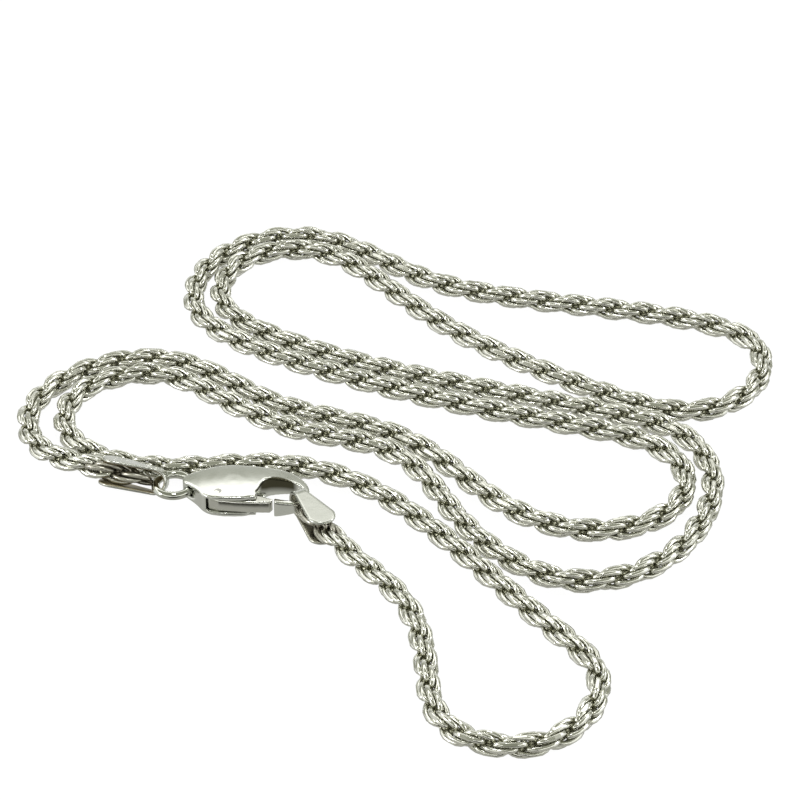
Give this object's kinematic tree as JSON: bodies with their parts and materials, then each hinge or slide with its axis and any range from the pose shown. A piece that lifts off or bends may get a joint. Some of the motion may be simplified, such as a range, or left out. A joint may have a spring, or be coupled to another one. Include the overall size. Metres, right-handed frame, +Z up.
{
  "type": "chain necklace",
  "caption": "Chain necklace: a twisted rope of small links with a folded tab at each end, a jump ring and a lobster clasp, laid flat in loops with the clasp shut.",
  "frame": {"origin": "centre of the necklace's bounding box on the surface that it lies on", "axes": "+Z up from the surface, +Y away from the clasp's side, +X to the right as seen from the clasp's side"},
  "size_m": [0.0627, 0.0703, 0.003],
  "materials": {
    "rope_silver": "bright silver links, cut flat and polished where the rope is touched",
    "tab_silver": "polished silver strip",
    "solder": "dull silver solder",
    "ring_silver": "polished silver wire",
    "clasp_silver": "polished silver casting",
    "trigger_silver": "polished silver",
    "rivet_steel": "pin ends ground flush",
    "spring_steel": "plain spring strip"
  },
  "bodies": {
    "rope_and_tabs": {"rope_stretch_01": "rope_silver", "rope_stretch_02": "rope_silver", "rope_stretch_03": "rope_silver", "rope_stretch_04": "rope_silver", "rope_stretch_05": "rope_silver", "rope_stretch_06": "rope_silver", "rope_stretch_07": "rope_silver", "rope_stretch_08": "rope_silver", "rope_stretch_09": "rope_silver", "rope_stretch_10": "rope_silver", "rope_stretch_11": "rope_silver", "rope_stretch_12": "rope_silver", "hook_end_tab": "tab_silver", "hook_end_solder": "solder", "ring_end_tab": "tab_silver", "ring_end_solder": "solder"},
    "clasp": {"clasp_casting": "clasp_silver", "lever_rivet": "rivet_steel", "trigger_spring": "spring_steel"},
    "trigger": {"trigger_lever": "trigger_silver"},
    "ring": {"jump_ring": "ring_silver"}
  },
  "joints": [
    {"name": "clasp_lift", "type": "hinge", "parent": "rope_and_tabs", "child": "clasp", "pos_m": [-0.00755, -0.00592, 0.001], "axis": [0.0698, 0.9976, 0], "range_deg": [0, 5]},
    {"name": "ring_swing", "type": "hinge", "parent": "clasp", "child": "ring", "pos_m": [-0.01661, -0.00315, 0.0011], "axis": [0.0698, 0.9976, 0], "range_deg": [-22, 0]},
    {"name": "trigger_press", "type": "hinge", "parent": "clasp", "child": "trigger", "pos_m": [-0.01437, -0.00511, 0.00105], "axis": [0, 0, 1], "range_deg": [0, 20], "stiffness_Nm_per_rad": 0.002, "springref_deg": -5.73, "deforming": ["trigger_spring"]}
  ],
  "couplings": [
    {"joint": "ring_swing", "follows": "clasp_lift", "ratio": -4.25}
  ]
}
